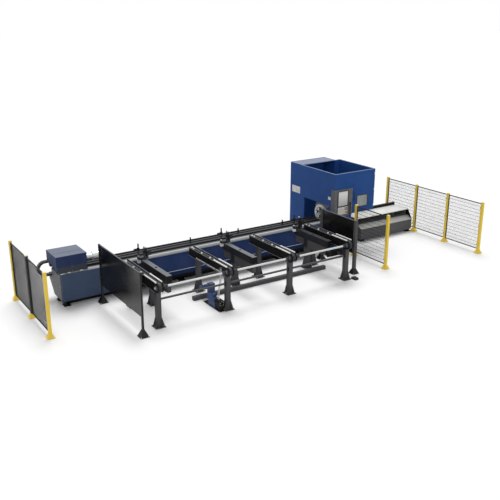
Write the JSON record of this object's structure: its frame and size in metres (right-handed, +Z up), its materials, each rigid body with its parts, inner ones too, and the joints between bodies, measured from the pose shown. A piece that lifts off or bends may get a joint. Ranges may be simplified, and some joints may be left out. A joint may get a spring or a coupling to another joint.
{
  "type": "fiber laser cutting machine",
  "caption": "Tube laser cutting line: long bed with feed carriage and chuck, chain-arm tube loader, enclosed cutting cabin, outfeed table and mesh safety fences.",
  "frame": {"origin": "floor level, under the centre of the whole line's box", "axes": "+X along the line from the feed carriage to the outfeed, +Y from the loader to the bed, +Z up"},
  "size_m": [16.51, 6.19, 3.03],
  "materials": {
    "blue_paint": "satin",
    "duct_blue": "satin",
    "black_paint": "satin",
    "grey_paint": "satin",
    "panel_grey": "fine texture",
    "yellow_paint": "satin",
    "mesh_black": "matte",
    "steel": "brushed",
    "stainless": "brushed",
    "dark_steel": "brushed",
    "alloy": "satin",
    "casting": "rough",
    "white_plastic": "smooth",
    "black_plastic": "fine texture",
    "screen": "gloss",
    "red_plastic": "gloss",
    "motor_blue": "satin",
    "hose_rubber": "matte",
    "window": "clear"
  },
  "bodies": {
    "frame": {"bed_frame": "blue_paint", "bed_end_plate": "grey_paint", "chain_tray": "black_paint", "levelling_feet": "black_paint", "bed_rails": "steel", "support_beam": "dark_steel", "trough": "duct_blue", "cabin_left_wall": "blue_paint", "cabin_front_wall": "blue_paint", "cabin_right_wall": "blue_paint", "cabin_rear_wall": "blue_paint", "cabin_roof": "grey_paint", "operator_panel": "panel_grey", "panel_screen": "screen", "panel_keypad": "white_plastic", "grab_handle": "black_plastic", "chuck_housing": "casting", "gantry_beam": "alloy", "outfeed_base": "panel_grey", "outfeed_plates": "stainless", "outfeed_chute": "stainless", "outfeed_end_cover": "black_paint", "outfeed_rail": "black_paint", "loader_arms": "black_paint", "arm_chains": "dark_steel", "wear_strips": "white_plastic", "front_pedestals": "black_paint", "rear_pedestals": "black_paint", "cross_rails": "black_paint", "floor_beam": "black_paint", "lift_posts": "black_paint", "pump_base": "black_paint", "drive_motors": "motor_blue", "pump_hose_front": "hose_rubber", "pump_hose_back": "hose_rubber", "hose_fittings": "steel", "left_guard": "black_paint", "right_guard": "black_paint", "fence_posts": "yellow_paint", "fence_panels": "mesh_black", "foot_switch": "black_plastic"},
    "feed_carriage": {"carriage_saddle": "black_paint", "guide_blocks": "steel", "carriage_hood": "blue_paint", "spindle_housing": "casting", "cable_chain": "black_plastic"},
    "rear_chuck": {"rear_chuck": "steel"},
    "front_chuck": {"front_chuck": "steel", "chuck_jaws": "dark_steel"},
    "support_pins": {"support_pins": "steel"},
    "cabin_door": {"cabin_door": "blue_paint", "door_window": "window"},
    "emergency_stop": {"emergency_stop": "red_plastic"},
    "head_carriage": {"head_carriage": "alloy"},
    "cutting_head": {"cutting_head": "alloy"},
    "drive_shaft": {"drive_shaft": "steel"},
    "lift_beams": {"lift_beams": "black_paint", "clamp_brackets": "dark_steel", "clamp_blocks": "white_plastic"},
    "foot_pedal": {"foot_pedal": "black_plastic"}
  },
  "joints": [
    {"name": "carriage_feed", "type": "slide", "parent": "frame", "child": "feed_carriage", "axis": [1, 0, 0], "range_m": [0, 8.8]},
    {"name": "rear_chuck_turn", "type": "hinge", "parent": "feed_carriage", "child": "rear_chuck", "pos_m": [-5.9, 1.075, 1.37], "axis": [1, 0, 0], "continuous": true},
    {"name": "front_chuck_turn", "type": "hinge", "parent": "frame", "child": "front_chuck", "pos_m": [3.7, 1.075, 1.37], "axis": [1, 0, 0], "continuous": true},
    {"name": "pins_drop", "type": "slide", "parent": "frame", "child": "support_pins", "axis": [0, 0, -1], "range_m": [0, 0.12]},
    {"name": "door_swing", "type": "hinge", "parent": "frame", "child": "cabin_door", "pos_m": [5.5345, 0.245, 2.2], "axis": [0, 0, 1], "range_deg": [0, 100]},
    {"name": "stop_press", "type": "slide", "parent": "frame", "child": "emergency_stop", "axis": [0, 1, 0], "range_m": [0, 0.005], "stiffness_N_per_m": 1500},
    {"name": "head_travel", "type": "slide", "parent": "frame", "child": "head_carriage", "axis": [0, 1, 0], "range_m": [-0.4, 0.4]},
    {"name": "head_lift", "type": "slide", "parent": "head_carriage", "child": "cutting_head", "axis": [0, 0, 1], "range_m": [-0.1, 0.2]},
    {"name": "shaft_turn", "type": "hinge", "parent": "frame", "child": "drive_shaft", "pos_m": [-1.59, -2.455, 1.29], "axis": [1, 0, 0], "continuous": true},
    {"name": "lift_rise", "type": "slide", "parent": "frame", "child": "lift_beams", "axis": [0, 0, 1], "range_m": [0, 0.15]},
    {"name": "pedal_press", "type": "hinge", "parent": "frame", "child": "foot_pedal", "pos_m": [2.285, -2.469, 0.054], "axis": [1, 0, 0], "range_deg": [0, 8], "stiffness_Nm_per_rad": 25, "springref_deg": -5.73}
  ],
  "couplings": [
    {"joint": "rear_chuck_turn", "follows": "front_chuck_turn", "ratio": 1}
  ]
}
